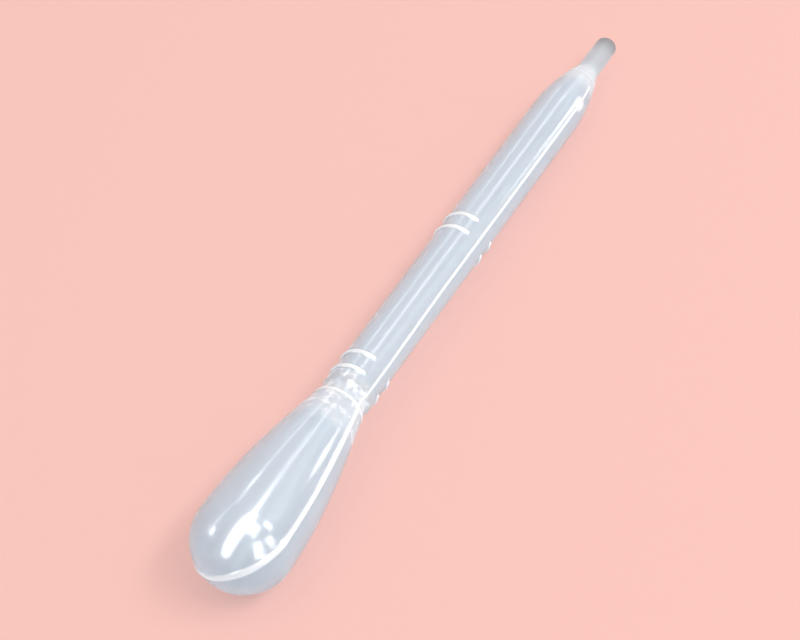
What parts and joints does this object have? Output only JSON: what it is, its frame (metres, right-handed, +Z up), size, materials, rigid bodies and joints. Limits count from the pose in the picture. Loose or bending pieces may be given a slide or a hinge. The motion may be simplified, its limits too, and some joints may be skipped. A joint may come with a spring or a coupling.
{
  "type": "dropper pipette",
  "caption": "Soft one-piece plastic dropper with a teardrop squeeze bulb, graduation ridges on its barrel and a narrow dispensing nozzle.",
  "frame": {"origin": "on the floor, under the middle of the dropper's bounding box", "axes": "+Y from the bulb to the nozzle, +Z up as the dropper lies at rest, +X to its right seen from the bulb"},
  "size_m": [0.0106, 0.094, 0.0106],
  "materials": {
    "body": "smooth natural polyethylene, translucent, bluish white"
  },
  "bodies": {
    "root": {"dropper": "body"}
  },
  "joints": []
}
